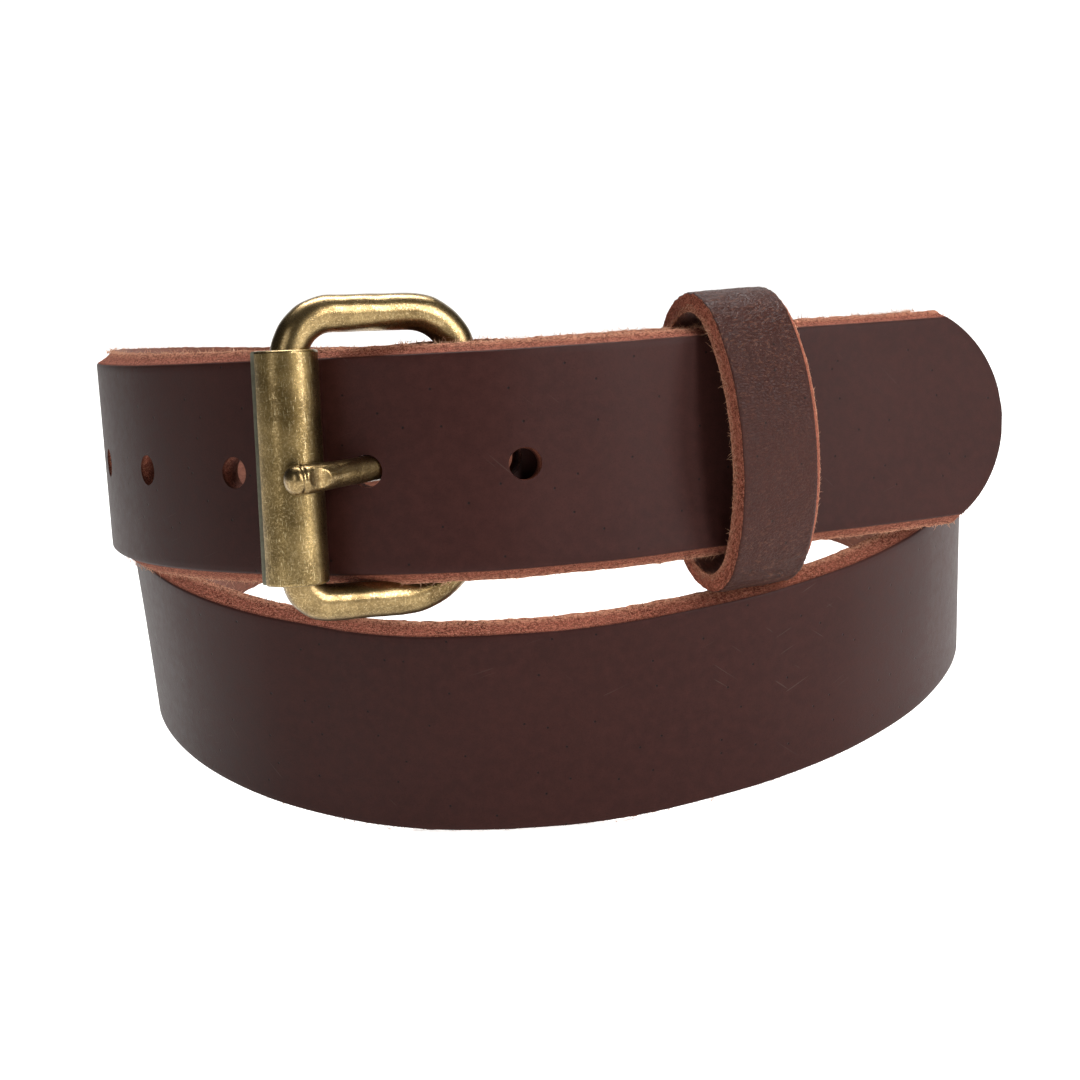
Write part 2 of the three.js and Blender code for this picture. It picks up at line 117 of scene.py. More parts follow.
# ---------- curves ----------
def spline(points, per_span):
    """A centripetal curve through the points, as (samples, spans), like the CAD's."""
    points = np.array(points, float)
    ends = np.vstack([2 * points[0] - points[1], points, 2 * points[-1] - points[-2]])
    samples, spans = [], []
    for i in range(len(points) - 1):
        p0, p1, p2, p3 = ends[i:i + 4]
        gaps = [math.sqrt(np.linalg.norm(b - a)) for a, b in ((p0, p1), (p1, p2), (p2, p3))]
        d0, d1, d2 = [max(gap, 0.01) for gap in gaps]
        m1 = ((p1 - p0) / d0 - (p2 - p0) / (d0 + d1) + (p2 - p1) / d1) * d1
        m2 = ((p2 - p1) / d1 - (p3 - p1) / (d1 + d2) + (p3 - p2) / d2) * d1
        for k in range(per_span):
            t = k / per_span
            curve = p1 + m1 * t + (3 * (p2 - p1) - 2 * m1 - m2) * t ** 2
            samples.append(curve + (2 * (p1 - p2) + m1 + m2) * t ** 3)
            spans.append(i + t)
    samples.append(points[-1])
    spans.append(len(points) - 1)
    return np.array(samples), np.array(spans)


def lengths_along(samples):
    strides = np.linalg.norm(np.diff(samples, axis=0), axis=1)
    return np.concatenate([[0], np.cumsum(strides)])


def unit(vectors):
    return vectors / np.linalg.norm(vectors, axis=-1, keepdims=True)


def at(x, xs, table):
    """Linear look-up of each column of a table."""
    return np.stack([np.interp(x, xs, column) for column in table.T], axis=-1)


def outward(angle):
    return np.array([math.sin(math.radians(angle)), -math.cos(math.radians(angle)), 0])


# ---------- the belt's route ----------
def smooth_leans(leans):
    """The leans between the stations, eased so that no kink shows."""
    places = np.linspace(0, len(leans) - 1, 12 * len(leans))
    table = at(places, np.arange(len(leans)), np.array(leans))
    kernel = np.hanning(27) / np.hanning(27).sum()
    padded = np.pad(table, ((13, 13), (0, 0)), mode="edge")
    return places, np.stack([np.convolve(column, kernel, "valid") for column in padded.T], axis=-1)


class Route:
    """Carries a point of the flat strap, (along, across, thickness), to its place in the coil."""

    def __init__(self):
        front = np.array([0, math.tan(math.radians(FRONT_LEAN)), 0])
        points = [list(row) for row in TAIL]
        leans = [front] * len(TAIL)
        for turn in (0, 36, 72, 108, 144):
            x = HEEL["x"] - HEEL["nose"] - HEEL["bend"] * math.sin(math.radians(turn))
            y = HEEL["y"] + HEEL["bend"] * math.cos(math.radians(turn))
            points.append([x, y, ROUTE[0][2]])
            leans.append(front)
        self.first_coil_station = len(points)
        for angle, radius, lower_edge, lean in ROUTE:
            points.append(outward(angle) * radius + [0, 0, lower_edge])
            leans.append(outward(angle) * math.tan(math.radians(lean)))
        samples, self.spans = spline(points, 40)
        samples[:, 2] = np.maximum(samples[:, 2], 0)
        self.lengths = lengths_along(samples)
        self.total = self.lengths[-1]
        forward = unit(np.gradient(samples, self.lengths, axis=0))
        level = unit(forward * [1, 1, 0])
        self.samples = samples
        self.face = np.stack([level[:, 1], -level[:, 0], 0 * level[:, 0]], axis=-1)
        rise = unit(np.array([0, 0, 1]) - forward * forward[:, 2:3])
        lean = at(self.spans, *smooth_leans(leans))
        self.across = unit(rise + lean)

    def length_at_angle(self, angle):
        angles = [row[0] for row in ROUTE]
        station = self.first_coil_station + np.interp(angle, angles, np.arange(len(angles)))
        return float(np.interp(station, self.spans, self.lengths))

    def bend(self, flat):
        along, across, thick = np.asarray(flat, float).T
        point = at(along, self.lengths, self.samples)
        rise = at(along, self.lengths, self.across) * (STRAP["width"] / 2 + across)[:, None]
        bent = point + rise + at(along, self.lengths, self.face) * thick[:, None]
        bent[:, 2] = np.maximum(bent[:, 2], -FLOOR_DROP)
        return bent


route = Route()

# ---------- places of the buckle and the keeper ----------
STRAP_MIDDLE = ROUTE[0][2] + STRAP["width"] / 2


def buckle_space():
    """x to the roller bar, y outward, z up the bars."""
    up = Vector((0, math.tan(math.radians(FRONT_LEAN)), 1)).normalized()
    turn = math.radians(BUCKLE_TURN)
    to_roller = Vector((-math.cos(turn), -math.sin(turn), 0))
    to_roller = (to_roller - up * to_roller.dot(up)).normalized()
    drift = math.tan(math.radians(FRONT_LEAN)) * STRAP["width"] / 2
    axes = Matrix((to_roller, up.cross(to_roller), up)).transposed().to_4x4()
    tilt = Matrix.Rotation(-math.radians(BUCKLE_TILT), 4, "Y")
    return Matrix.Translation((HEEL["x"], HEEL["y"] + drift, STRAP_MIDDLE)) @ axes @ tilt


def keeper_space():
    """x outward, y up across the belt, z back along the belt."""
    turn = math.radians(KEEPER["turn"])
    front = Vector((math.sin(turn), -math.cos(turn), 0))
    up = (Vector((0, 0, 1)) - front * math.tan(math.radians(FRONT_LEAN))).normalized()
    front = (front - up * front.dot(up)).normalized()
    axes = Matrix((front, up, front.cross(up))).transposed().to_4x4()
    return Matrix.Translation((KEEPER["x"], KEEPER["y"], KEEPER["z"])) @ axes


BUCKLE = buckle_space()
KEEPER_PLACE = keeper_space()


def carried(points, space):
    """Points of a local space, carried to the coil's."""
    matrix = np.array(space)
    return np.asarray(points, float) @ matrix[:3, :3].T + matrix[:3, 3]


# ---------- mesh helpers ----------
def face_outwards(mesh):
    edit = bmesh.new()
    edit.from_mesh(mesh)
    bmesh.ops.recalc_face_normals(edit, faces=edit.faces)
    edit.to_mesh(mesh)
    edit.free()


def flat_object(name, points, faces):
    """A closed mesh whose points stay as they are given."""
    mesh = bpy.data.meshes.new(name)
    mesh.from_pydata(np.asarray(points, float).tolist(), [], faces)
    mesh.update()
    face_outwards(mesh)
    piece = bpy.data.objects.new(name, mesh)
    bpy.context.scene.collection.objects.link(piece)
    return piece


def new_object(name, points, faces):
    """points are in millimetres from the coil's centre."""
    return flat_object(name, (np.asarray(points, float) + np.array(COIL)) * MM, faces)


def smooth(piece, angle=40):
    piece.data.shade_smooth()
    piece.data.set_sharp_from_angle(angle=math.radians(angle))


def capped_faces(rings, around):
    """Quads between neighbouring rings of points, and a cap at each end."""
    faces = []
    for i in range(rings - 1):
        j = i + 1
        for k in range(around):
            n = (k + 1) % around
            faces.append((i * around + k, i * around + n, j * around + n, j * around + k))
    faces.append(tuple(reversed(range(around))))
    faces.append(tuple(range((rings - 1) * around, rings * around)))
    return faces


def rough(point, scale, seed=0.0):
    """Smooth random value, about -1 to 1, at a point."""
    return noise.noise(Vector(point) * scale + Vector((seed, 0.37 * seed, -seed)))


# ---------- leather cut flat, then bent ----------
def leather_section(half_width, half_thick, grain_roll, flare, face_step):
    """Outline of a strip's cross-section as (across, thickness), grain side up."""
    flat_half = half_width - grain_roll
    columns = max(4, int(2 * flat_half / face_step))
    outline = [(x, half_thick) for x in np.linspace(-flat_half, flat_half, columns)]
    for turn in np.radians((30, 60, 90)):
        drop = grain_roll * (1 - math.cos(turn))
        outline.append((flat_half + grain_roll * math.sin(turn), half_thick - drop))
    wall = np.linspace(half_thick - grain_roll, -half_thick + 0.12, 7)[1:]
    for height in wall:
        share = (half_thick - grain_roll - height) / (2 * half_thick - grain_roll)
        outline.append((half_width + flare * share ** 1.3, height))
    outline.append((half_width + flare - 0.12, -half_thick))
    right = outline[columns:]
    under = [(x, -half_thick) for x in np.linspace(flat_half - 0.4, -flat_half + 0.4, columns // 2)]
    left = [(-x, y) for x, y in reversed(right)]
    return np.array(outline + under + left)


def flat_strip(name, stations, half_widths, section, half_width):
    """A closed strip of leather in flat millimetres: section repeated at each station."""
    points = []
    for along, half in zip(stations, half_widths):
        across = section[:, 0] * (half / half_width)
        points.append(np.stack([np.full(len(section), along), across, section[:, 1]], axis=-1))
    return flat_object(name, np.vstack(points), capped_faces(len(points), len(section)))


def punch(name, along, across, radii, stretch):
    """A cutter in flat millimetres, round or stretched along; radii go from flesh to grain."""
    sides = 40
    heights = np.linspace(-PUNCH_DEPTH, PUNCH_DEPTH, len(radii))
    points = []
    for height, radius in zip(heights, radii):
        for k in range(sides):
            turn = 2 * math.pi * k / sides
            x = along + radius * math.cos(turn) + stretch * np.sign(math.cos(turn))
            points.append((x, across + radius * math.sin(turn), height))
    return flat_object(name, points, capped_faces(len(radii), sides))


def cut_away(piece, cutters):
    for cutter in cutters:
        modifier = piece.modifiers.new(cutter.name, "BOOLEAN")
        modifier.operation = "DIFFERENCE"
        modifier.solver = "EXACT"
        modifier.object = cutter
    graph = bpy.context.evaluated_depsgraph_get()
    cut = bpy.data.meshes.new_from_object(piece.evaluated_get(graph))
    piece.modifiers.clear()
    piece.data = cut
    for cutter in cutters:
        bpy.data.objects.remove(cutter)


def vertices_of(piece):
    flat = np.zeros(len(piece.data.vertices) * 3)
    piece.data.vertices.foreach_get("co", flat)
    return flat.reshape(-1, 3)


GRAIN, FLESH, CUT = 0, 1, 2


def bend_leather(piece, bend, materials, dressing):
    """Sorts faces into grain, flesh and cut edge, roughens them, keeps the flat place, and bends."""
    mesh = piece.data
    for material in materials:
        mesh.materials.append(material)
    for polygon in mesh.polygons:
        facing = polygon.normal.z
        kind = GRAIN if facing > 0.7 else FLESH if facing < -0.7 else CUT
        polygon.material_index = kind
    flat = vertices_of(piece)
    mesh.attributes.new("flat", "FLOAT_VECTOR", "POINT").data.foreach_set("vector", flat.ravel())
    bent = (bend(dressing(flat.copy())) + np.array(COIL)) * MM
    mesh.vertices.foreach_set("co", bent.ravel())
    face_outwards(mesh)
    mesh.update()
    smooth(piece, 48)


def slant(flat):
    """The knife stood off square, so the flesh side sits higher or lower than the grain side."""
    lengths = [route.length_at_angle(angle) for angle, _, _ in SLANT]
    shift = np.interp(flat[:, 0], lengths, [row[1] for row in SLANT])
    bulge = np.interp(flat[:, 0], lengths, [row[2] for row in SLANT]) * flat[:, 1] / STRAP["width"]
    flat[:, 1] += (shift + 2 * bulge) * (0.5 - flat[:, 2] / STRAP["thickness"])
    return flat


def ragged(flat, half_width, half_thick, amount):
    """Cut edges wander a little, more towards the flesh side."""
    for i, (along, across, thick) in enumerate(flat):
        if abs(across) > half_width - 0.1 and thick < half_thick - 0.25:
            share = 0.35 + 0.65 * (half_thick - thick) / (2 * half_thick)
            side = 7.0 if across > 0 else 3.0
            wander = 0.6 * rough((along * 0.9, side, thick * 0.4), 1.0)
            wander += 0.5 * rough((along * 2.6, side, thick * 1.5), 1.0, 5.0)
            flat[i, 1] += math.copysign(amount * share * wander, across)
            flat[i, 2] += 0.3 * amount * rough((along * 1.7, side, 0), 1.0, 9.0) * share
    return flat


def tip_half_width(left):
    half = STRAP["width"] / 2
    if left >= TIP["length"]:
        return half
    arc = (half ** 2 + TIP["length"] ** 2) / (2 * TIP["length"])
    return max(math.sqrt(max(arc ** 2 - (arc - left) ** 2, 0)), half * TIP["blunt"])


def flared_half_width(along):
    return tip_half_width(route.total - along) + STRAP["flare"]


def strap_stations():
    fold_end = route.length_at_angle(FOLD_END)
    stations = [0.0]
    while stations[-1] < route.total - 0.3:
        here = stations[-1]
        near_tip = here > route.total - TIP["length"] - 1
        step = STRAP["fold_step"] if here < fold_end + 6 or near_tip else STRAP["step"]
        if here > route.total - 2:
            step = STRAP["tip_step"]
        stations.append(here + step)
    stations[-1] = route.total
    return np.array(stations)


def make_strap(materials):
    half, thick = STRAP["width"] / 2, STRAP["thickness"] / 2
    section = leather_section(half, thick, STRAP["grain_roll"], STRAP["flare"], STRAP["face_step"])
    stations = strap_stations()
    widths = [tip_half_width(route.total - s) for s in stations]
    piece = flat_strip("strap_leather", stations, widths, section, half)
    mouth = np.array([1.0, 0.97, 0.96, 0.97, 1.0, 1.03]) * HOLE["radius"]
    cutters = []
    for i in range(HOLE["count"]):
        along = route.length_at_angle(HOLE["angle"]) - i * HOLE["pitch"]
        cutters.append(punch(f"hole_{i}", along, -HOLE["drop"], mouth, 0))
    heel = route.length_at_angle(FOLD_END) - HEEL["nose"] - math.pi / 2 * HEEL["bend"]
    slot_half = math.pi / 2 * HEEL["bend"] + HEEL["nose"] + SLOT["reach"]
    slot_radius = SLOT["height"] / 2
    cutters.append(punch("slot", heel, 0, np.full(3, slot_radius), slot_half - slot_radius))
    post_radii = np.full(3, SCREW["barrel"] + SCREW["play"])
    for angle in SCREW["angles"]:
        outer = route.length_at_angle(angle)
        cutters.append(punch("post_hole", outer, 0, post_radii, 0))
        cutters.append(punch("screw_hole", tail_length_facing(outer), 0, post_radii, 0))
    cut_away(piece, cutters)

    def dressing(flat):
        return slant(ragged(flat, half, thick, STRAP["ragged"]))

    bend_leather(piece, route.bend, materials, dressing)
    return piece


def tail_length_facing(outer):
    """The length on the folded tail that faces a length on the outer layer."""
    along = np.linspace(0, route.length_at_angle(FOLD_END) - HEEL["nose"] - 3.2 * HEEL["bend"], 200)
    zero = np.zeros_like(along)
    tail = route.bend(np.stack([along, zero, zero], axis=-1))
    inner = route.bend([(outer, 0, -(STRAP["thickness"] + GAP))])[0]
    return along[np.argmin(np.linalg.norm(tail - inner, axis=1))]


# ---------- keeper loop ----------
class KeeperBend:
    """Carries a point of the flat keeper, (along, across, thickness), round its loop."""

    def __init__(self):
        back = KEEPER_HALF[-1][0]
        upper = [(x, y) for x, y in reversed(KEEPER_HALF)]
        lower = [(x, -y) for x, y in KEEPER_HALF[1:]]
        ring = [(back, -0.01)] + upper + lower + [(back, 0.0)]
        samples, _ = spline([(x, y, 0) for x, y in ring], 24)
        self.lengths = lengths_along(samples)
        self.total = self.lengths[-1]
        self.samples = samples
        forward = unit(np.gradient(samples, self.lengths, axis=0))
        self.face = np.stack([forward[:, 1], -forward[:, 0], 0 * forward[:, 0]], axis=-1)
        front = np.argmax(samples[:, 0])
        self.face *= np.sign(self.face[front, 0])

    def local(self, flat):
        along, across, thick = np.asarray(flat, float).T
        along = along + KEEPER["joint"] / 2
        point = at(along, self.lengths, self.samples)
        point = point + at(along, self.lengths, self.face) * thick[:, None]
        point[:, 2] += across
        return point

    def bend(self, flat):
        return carried(self.local(flat), KEEPER_PLACE)


keeper_bend = KeeperBend()


def keeper_slant(flat):
    """The keeper's flesh side reaches past its grain side, away from the buckle, and thins there."""
    width = KEEPER["width"]
    flesh_share = 0.5 - flat[:, 2] / KEEPER["thickness"]
    shift = np.interp(flat[:, 1], (-width / 2, width / 2), KEEPER_SHIFT)
    flat[:, 1] += shift * flesh_share
    flat[:, 2] += KEEPER_THINNING * flesh_share * np.clip(-flat[:, 1] / (0.65 * width), 0, 1)
    return flat


def keeper_dressing(flat):
    """Ragged edges, and creases across the leather where it bends sharply."""
    half, thick = KEEPER["width"] / 2, KEEPER["thickness"] / 2
    flat = keeper_slant(ragged(flat, half, thick, KEEPER["ragged"]))
    for i, (along, across, height) in enumerate(flat):
        if height > 0:
            bendy = 0.0
            for place in (0.22, 0.30, 0.70, 0.78):
                away = (along / keeper_bend.total - place) / 0.045
                bendy += math.exp(-away ** 2)
            crease = rough((along * 1.3, across * 0.28, 2.0), 1.0, 3.0)
            crease -= 0.5 * abs(rough((along * 2.3, across * 0.5, 4.0), 1.0, 6.0))
            flat[i, 2] += 0.22 * bendy * crease
            flat[i, 2] += 0.07 * rough((along * 0.25, across * 0.3, 1.0), 1.0)
    return flat


def make_keeper(materials):
    half, thick = KEEPER["width"] / 2, KEEPER["thickness"] / 2
    section = leather_section(half, thick, KEEPER["grain_roll"], KEEPER["flare"], KEEPER["face_step"])
    stations = np.linspace(0, keeper_bend.total - KEEPER["joint"], KEEPER["stations"])
    piece = flat_strip("keeper_leather", stations, [half] * len(stations), section, half)
    bend_leather(piece, keeper_bend.bend, materials, keeper_dressing)
    return piece


# ---------- metal ----------
def swept(name, line, radii, side, space, facet=None, around=28, wobble=0.0):
    """A bar swept along a line; facet says how far its front may reach, as a share of its radius."""
    line = np.asarray(line, float)
    lengths = lengths_along(line)
    forward = unit(np.gradient(line, lengths, axis=0))
    side = np.asarray(side, float)
    other = unit(np.cross(forward, side))
    binormal = unit(np.cross(other, forward))
    points = []
    for i, centre in enumerate(line):
        for k in range(around):
            turn = 2 * math.pi * k / around
            outward_share = math.cos(turn)
            if facet is not None:
                outward_share = max(outward_share, -facet[i])
            spoke = outward_share * other[i] + math.sin(turn) * binormal[i]
            points.append(centre + spoke * (radii[i] + wobble * rough(centre + spoke * radii[i], 0.35)))
    return new_object(name, carried(points, space), capped_faces(len(line), around))


def rounded_ends(lengths, radius, end_round):
    """Radii that close a bar's ends with a round."""
    total = lengths[-1]
    radii = np.full(len(lengths), float(radius))
    for i, here in enumerate(lengths):
        left = min(here, total - here)
        if left < end_round:
            radii[i] = radius * math.sqrt(max(1 - (1 - left / end_round) ** 2, 0.004))
    return radii


def frame_outline():
    """The buckle's wire, from its butt at the roller bar round and back."""
    high, far = FRAME["inside"] / 2 + WIRE_RADIUS, FRAME["spacing"]
    top, heel_top, heel_low, low = CORNER.values()
    bends = [(far - top, high - top, top), (heel_top, high - heel_top, heel_top),
             (heel_low, heel_low - high, heel_low), (far - low, low - high, low)]
    line = [(far, 0.25), (far, high - top)]
    for quarter, (x, y, r) in enumerate(bends):
        for turn in np.radians(np.linspace(90 * quarter, 90 * quarter + 90, 15)):
            line.append((x + r * math.cos(turn), y + r * math.sin(turn)))
    line.append((far, -0.25))
    line = np.array([(x, 0, y + FRAME["raise"]) for x, y in line])
    lengths = lengths_along(line)
    return at(np.linspace(0, lengths[-1], 260), lengths, line)


def make_frame(material):
    line = frame_outline()
    radii = rounded_ends(lengths_along(line), WIRE_RADIUS, 0.4)
    piece = swept("buckle_wire", line, radii, (0, 1, 0), BUCKLE, wobble=0.09, around=32)
    piece.data.materials.append(material)
    smooth(piece, 60)
    return piece


def make_roller(material, bare):
    """A sheet sleeve, rolled up with an open seam, its rims rounded over."""
    half, lip = ROLLER["length"] / 2, 0.45
    wall = ROLLER["outer"] - ROLLER["inner"]
    profile = [(ROLLER["inner"], z) for z in np.linspace(-half + lip, half - lip, 14)]
    for turn in np.linspace(180, 0, 9):
        r = math.radians(turn)
        profile.append((ROLLER["inner"] + wall / 2 * (1 + math.cos(r)), half - lip + lip * math.sin(r)))
    profile += [(ROLLER["outer"], z) for z in np.linspace(half - lip, -half + lip, 30)]
    for turn in np.linspace(0, -180, 9):
        r = math.radians(turn)
        profile.append((ROLLER["inner"] + wall / 2 * (1 + math.cos(r)), -half + lip + lip * math.sin(r)))
    seam = math.radians(ROLLER["seam_angle"])
    opening = ROLLER["seam"] / ROLLER["outer"]
    points = []
    turns = np.linspace(seam + opening, seam + 2 * math.pi, 80)
    for turn in turns:
        for radius, z in profile:
            dent = 0.05 * rough((turn * 2, z * 0.15, 0), 1.0)
            x = ROLLER["spacing"] + (radius + dent) * math.cos(turn)
            y = ROLLER["forward"] + (radius + dent) * math.sin(turn)
            points.append((x, y, z + ROLLER["raise"]))
    faces = capped_faces(len(turns), len(profile))
    piece = new_object("roller_sleeve", carried(points, BUCKLE), faces)
    piece.data.materials.append(material)
    piece.data.materials.append(bare)
    for polygon in piece.data.polygons:
        polygon.material_index = int(polygon.loop_total > 4)
    smooth(piece, 50)
    return piece


def make_prong(material):
    """One bar, bent round the heel bar and out over the roller; its tip has a bead and a small flat."""
    ring, slim, tip = PRONG_RING["radius"], PRONG_RING["wire"], PRONG_TIP
    line = []
    for turn in np.radians(np.linspace(PRONG_RING["start"], PRONG_RING["end"], 40)):
        line.append((ring * math.cos(turn), ring * math.sin(turn), PRONG["drop"]))
    shank, _ = spline([(x, y, PRONG["drop"] - PRONG["droop"] * x) for x, y in SHANK], 14)
    joined = np.vstack([line[:-1], shank[5:]])
    lengths = lengths_along(joined)
    total = lengths[-1]
    fine = np.concatenate([np.linspace(0, total - 10, 130), np.linspace(total - 9.9, total, 110)])
    line = at(fine, lengths, joined)
    left = total - fine
    radii = slim + (PRONG["radius"] - slim) * np.clip((fine - 24) / 6, 0, 1)
    radii = radii * (1 + tip["swell"] * np.clip((9 - left) / 6, 0, 1))
    radii = radii * np.sqrt(np.clip(1 - np.clip(1 - left / tip["nose"], 0, 1) ** 2.2, 0.004, 1))
    from_neck = (left - tip["neck"]) / tip["neck_width"]
    radii = radii * (1 - tip["neck_depth"] * np.exp(-from_neck ** 2))
    from_flat = (left - tip["flat_middle"]) / tip["flat_half"]
    facet = 1 - tip["flat_depth"] * np.clip(1 - from_flat ** 2, 0, 1)
    piece = swept("prong_bar", line, radii, (0, 0, 1), BUCKLE, facet=facet, around=44, wobble=0.05)
    piece.data.materials.append(material)
    smooth(piece, 28)
    return piece


def make_staple(name, shift, material):
    back = KEEPER_HALF[-1][0] - KEEPER["thickness"] / 2 - STAPLE["wire"] - GAP
    high, r = STAPLE["crown"] / 2, 0.9
    line = [(back + STAPLE["bite"], high)]
    for (x, y), start in (((back + r, high - r), 90), ((back + r, r - high), 180)):
        for turn in np.linspace(start, start + 90, 8):
            line.append((x + r * math.cos(math.radians(turn)), y + r * math.sin(math.radians(turn))))
    line.append((back + STAPLE["bite"], -high))
    line = np.array([(x, y, shift) for x, y in line])
    lengths = lengths_along(line)
    line = at(np.linspace(0, lengths[-1], 90), lengths, line)
    radii = rounded_ends(lengths_along(line), STAPLE["wire"], 0.4)
    piece = swept(name, line, radii, (0, 0, 1), KEEPER_PLACE, around=12)
    piece.data.materials.append(material)
    smooth(piece, 60)
    return piece


def make_stud(name, angle, flip, slotted, material):
    """A turned head with a rounded rim, standing on the strap, with its barrel or shank."""
    along = route.length_at_angle(angle)
    point = route.bend([(along, 0, 0)])[0]
    face = at(np.array([along]), route.lengths, route.face)[0]
    up = at(np.array([along]), route.lengths, route.across)[0]
    thick = STRAP["thickness"] / 2
    stack = 2 * STRAP["thickness"] + 2 * GAP
    seat = thick + GAP if flip > 0 else thick - stack - GAP
    reach, head = SCREW["head_radius"], SCREW["head"]
    stem = SCREW["barrel"] if flip > 0 else SCREW["shank"]
    depth = stack + GAP if flip > 0 else SCREW["depth"]
    profile = [(0.02, head + 0.25), (1.5, head + 0.2), (3, head), (reach - 0.35, head - 0.2),
               (reach - 0.08, head - 0.5), (reach, head - 0.8), (reach - 0.1, 0), (stem, 0),
               (stem, -depth), (0.02, -depth)]
    sides = 48
    out = face * flip
    across = np.cross(out, up)
    points = []
    for radius, height in profile:
        for k in range(sides):
            turn = 2 * math.pi * k / sides
            spoke = math.cos(turn) * up + math.sin(turn) * across
            points.append(point + face * seat + out * height + spoke * radius)
    piece = new_object(name, points, capped_faces(len(profile), sides))
    if slotted:
        middle = point + face * seat + out * (head + SCREW["slot_depth"])
        wide, tall = SCREW["slot_width"] / 2, reach + 1
        corners = [middle + out * a + across * b + up * c for a in (-0.8, 0.8)
                   for b, c in ((-wide, -tall), (wide, -tall), (wide, tall), (-wide, tall))]
        cut_away(piece, [new_object("screw_slot", corners, capped_faces(2, 4))])
    piece.data.materials.append(material)
    smooth(piece, 35)
    return piece


# ---------- shader helpers ----------
class Shader:
    """Short way to build a node material."""

    def __init__(self, name):
        self.material = bpy.data.materials.new(name)
        self.material.use_nodes = True
        self.tree = self.material.node_tree
        self.tree.nodes.clear()
        output = self.tree.nodes.new("ShaderNodeOutputMaterial")
        self.surface = self.tree.nodes.new("ShaderNodeBsdfPrincipled")
        self.tree.links.new(self.surface.outputs[0], output.inputs[0])

    def put(self, socket, value):
        if isinstance(value, bpy.types.NodeSocket):
            self.tree.links.new(value, socket)
        else:
            socket.default_value = value

    def add(self, kind, inputs=(), output=0, **settings):
        node = self.tree.nodes.new("ShaderNode" + kind)
        for key, value in settings.items():
            setattr(node, key, value)
        for key, value in dict(inputs).items():
            self.put(node.inputs[key], value)
        return node.outputs[output]

    def math(self, operation, a, b=0.0):
        return self.add("Math", {0: a, 1: b}, operation=operation)

    def part(self, vector, axis):
        """One of the vector's x, y and z, as 0, 1 or 2."""
        return self.add("SeparateXYZ", {0: vector}, output=axis)

    def flat(self):
        return self.add("Attribute", attribute_name="flat", output="Vector")

    def solid(self):
        place = self.add("TexCoord", output="Object")
        return self.add("VectorMath", {0: place, 1: (1000, 1000, 1000)}, operation="MULTIPLY")

    def scaled(self, vector, scale, turn=(0, 0, 0)):
        return self.add("Mapping", {"Vector": vector, "Scale": scale, "Rotation": turn})

    def noise(self, vector, scale, detail=3.0, roughness=0.55):
        inputs = {"Vector": vector, "Scale": scale, "Detail": detail, "Roughness": roughness}
        return self.add("TexNoise", inputs)

    def noise_colour(self, vector, scale):
        return self.add("TexNoise", {"Vector": vector, "Scale": scale, "Detail": 3.0}, output=1)

    def cells(self, vector, scale, feature="F1", dimensions="3D"):
        inputs = {"Vector": vector, "Scale": scale}
        return self.add("TexVoronoi", inputs, "Distance", feature=feature, voronoi_dimensions=dimensions)

    def ramp(self, value, stops):
        """stops are (position, grey or colour)."""
        out = self.add("ValToRGB", {0: value})
        ramp = out.node.color_ramp
        while len(ramp.elements) < len(stops):
            ramp.elements.new(0.5)
        for element, (position, colour) in zip(ramp.elements, stops):
            element.position = position
            grey = isinstance(colour, (int, float))
            element.color = (colour, colour, colour, 1) if grey else (*colour, 1)
        return out

    def mix(self, factor, a, b):
        return self.add("Mix", {0: factor, 6: a, 7: b}, output=2, data_type="RGBA")

    def bump(self, height, strength, distance, normal=None):
        inputs = {"Height": height, "Strength": strength, "Distance": distance}
        if normal is not None:
            inputs["Normal"] = normal
        return self.add("Bump", inputs)

    def finish(self, **inputs):
        for key, value in inputs.items():
            self.put(self.surface.inputs[key.replace("_", " ")], value)
        return self.material


def rgb(colour, strength=1.0):
    return (*[channel * strength for channel in colour], 1)


# ---------- materials ----------
EDGE_LIGHT, EDGE_DARK = (0.46, 0.142, 0.088), (0.12, 0.028, 0.016)
PALE_NAP = (0.72, 0.36, 0.22)
SCRATCHED_DYE, WORN_DYE, PINHOLE = (0.10, 0.066, 0.055), (0.15, 0.060, 0.035), (0.003, 0.002, 0.002)
BARE_BRASS, SCRATCHED_BRASS = (0.72, 0.56, 0.31), (0.78, 0.64, 0.36)
STRAP_IOR, KEEPER_IOR, RAW_LEATHER_IOR = 1.21, 1.22, 1.2
# The wall of a punched hole is nearer than this to the middle of the strap's width; painted shade
# darkens the cut faces there.
HOLE_REGION = 5.0


def creases(s, flat, dark, dye, normal):
    """Adds the keeper's pebbles, with painted shade in the valleys between them, and the worn places at
    its bends to a dye and a normal.
    """
    warped = s.add("VectorMath", {0: flat, 1: s.noise_colour(flat, 0.8)}, operation="ADD")
    pebble = s.cells(s.scaled(warped, (1.6, 0.8, 1)), 1.7, feature="DISTANCE_TO_EDGE")
    valleys = s.ramp(pebble, [(0.0, 0), (0.16, 1)])
    share = s.math("DIVIDE", s.part(flat, 0), keeper_bend.total)
    bends = s.ramp(share, [(0.20, 1), (0.34, 1), (0.46, 0.3), (0.6, 0.35), (0.7, 1), (0.8, 1)])
    worn = s.ramp(s.noise(s.scaled(flat, (2.2, 1.1, 1)), 1.1, 5, 0.7), [(0.53, 0), (0.62, 1)])
    worn = s.math("MULTIPLY", s.math("MULTIPLY", worn, bends), 0.5)
    dye = s.mix(worn, dye, rgb(WORN_DYE))
    # Painted shade: the dye is darkened in the valleys between the pebbles.
    dye = s.mix(s.ramp(valleys, [(0, 0.35), (0.6, 0)]), dye, rgb(dark, 0.5))
    normal = s.bump(valleys, 0.4, 0.00018, normal)
    normal = s.bump(worn, 0.5, 0.00014, normal)
    return dye, normal


